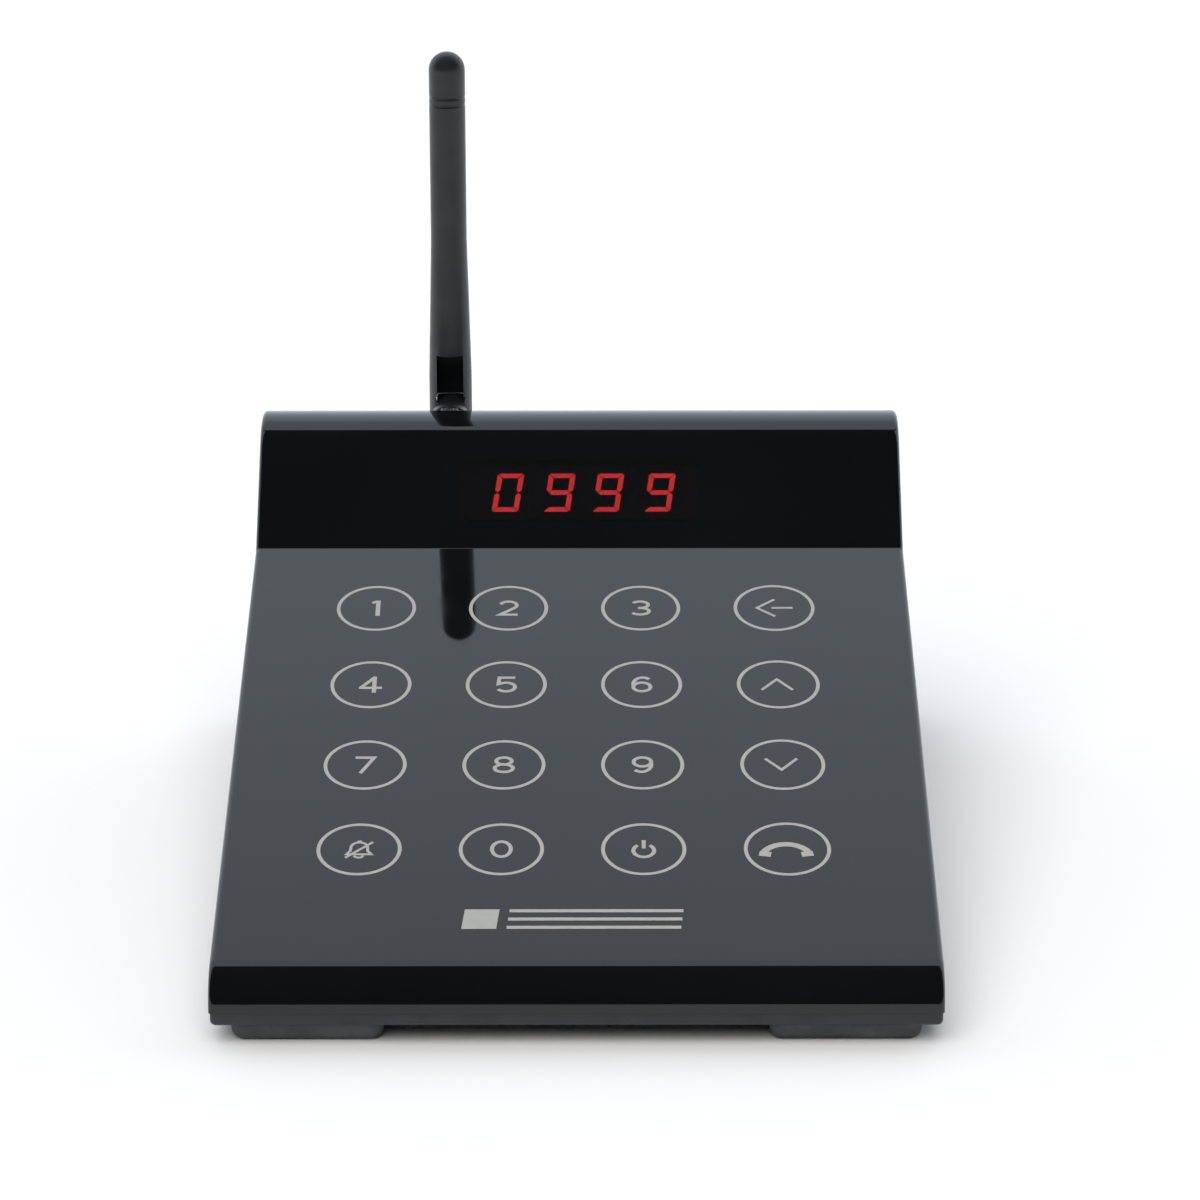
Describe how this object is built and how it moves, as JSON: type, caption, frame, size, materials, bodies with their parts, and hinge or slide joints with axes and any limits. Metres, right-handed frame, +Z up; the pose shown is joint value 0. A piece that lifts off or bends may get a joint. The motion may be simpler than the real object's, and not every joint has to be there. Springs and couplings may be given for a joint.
{
  "type": "pager transmitter console",
  "caption": "Desk console of a guest paging system: a sloped glossy touch keypad below a numeric display, on a shallow case, with a swivelling antenna behind.",
  "frame": {"origin": "on the table top, at the middle of the object's length and width, antenna upright", "axes": "+Z up, +Y from the user's side to the rear wall and antenna, +X to the user's right"},
  "size_m": [0.15, 0.2201, 0.1586],
  "materials": {
    "cover_plastic": "high gloss black, moulded",
    "smoked_window": "smoked, polished",
    "case_plastic": "fine textured black",
    "foot_rubber": "matt dark grey",
    "antenna_plastic": "satin black",
    "screw_steel": "zinc plated",
    "pin_steel": "ground",
    "lit_bar": "glowing red epoxy",
    "dark_bar": "unlit tinted epoxy",
    "module_plastic": "matt black face",
    "tinned_pin": "tinned",
    "circuit_board": "green solder mask",
    "radio_board": "blue solder mask",
    "chip_plastic": "moulded epoxy",
    "adhesive_film": "translucent white film",
    "copper": "bare copper",
    "tin_can": "tinned can",
    "buzzer_plastic": "moulded black",
    "capacitor_sleeve": "shrink sleeve",
    "jack_plastic": "moulded black",
    "nickel": "nickel plated",
    "socket_plastic": "natural nylon",
    "ribbon_film": "white polyester film",
    "coax_jacket": "fine jacket",
    "gold_plate": "gold plated",
    "insulator": "white fluoropolymer",
    "radiator_core": "insulated core",
    "radiator_brass": "drawn brass"
  },
  "bodies": {
    "console": {"top_cover": "cover_plastic", "display_window": "smoked_window", "lower_case": "case_plastic", "case_screws": "screw_steel", "board_screws": "screw_steel", "display_screws": "screw_steel", "display_bars_lit": "lit_bar", "display_bars_dark": "dark_bar", "digit_pins": "tinned_pin", "display_board": "circuit_board", "touch_board": "circuit_board", "main_board": "circuit_board", "radio_module": "radio_board", "display_driver": "chip_plastic", "touch_controller": "chip_plastic", "microcontroller": "chip_plastic", "voltage_regulator": "chip_plastic", "touch_adhesive": "adhesive_film", "touch_pads": "copper", "crystal": "tin_can", "radio_shield": "tin_can", "buzzer": "buzzer_plastic", "capacitors": "capacitor_sleeve", "dc_jack_body": "jack_plastic", "dc_jack_pin": "nickel", "ribbon_sockets": "socket_plastic", "touch_ribbon": "ribbon_film", "display_ribbon": "ribbon_film", "antenna_coax": "coax_jacket", "antenna_jack": "gold_plate", "jack_insulator": "insulator", "jack_contact": "gold_plate", "antenna_washer": "nickel", "antenna_nut": "nickel", "coupling_nut": "nickel", "digit_module_1": "module_plastic", "digit_module_2": "module_plastic", "digit_module_3": "module_plastic", "digit_module_4": "module_plastic", "foot_rear_left": "foot_rubber", "foot_rear_right": "foot_rubber", "foot_front_left": "foot_rubber", "foot_front_right": "foot_rubber"},
    "antenna_swivel_base": {"antenna_base": "antenna_plastic", "antenna_plug_pin": "gold_plate"},
    "antenna_whip": {"antenna_sheath": "antenna_plastic", "hinge_pin": "pin_steel", "radiator_rod": "radiator_core", "radiator_sleeve": "radiator_brass"}
  },
  "joints": [
    {"name": "antenna_swivel", "type": "hinge", "parent": "console", "child": "antenna_swivel_base", "pos_m": [-0.0315, 0.09305, 0.069], "axis": [0, 1, 0], "range_deg": [-135, 135]},
    {"name": "antenna_tilt", "type": "hinge", "parent": "antenna_swivel_base", "child": "antenna_whip", "pos_m": [-0.0315, 0.1049, 0.069], "axis": [-1, 0, 0], "range_deg": [0, 90]}
  ]
}
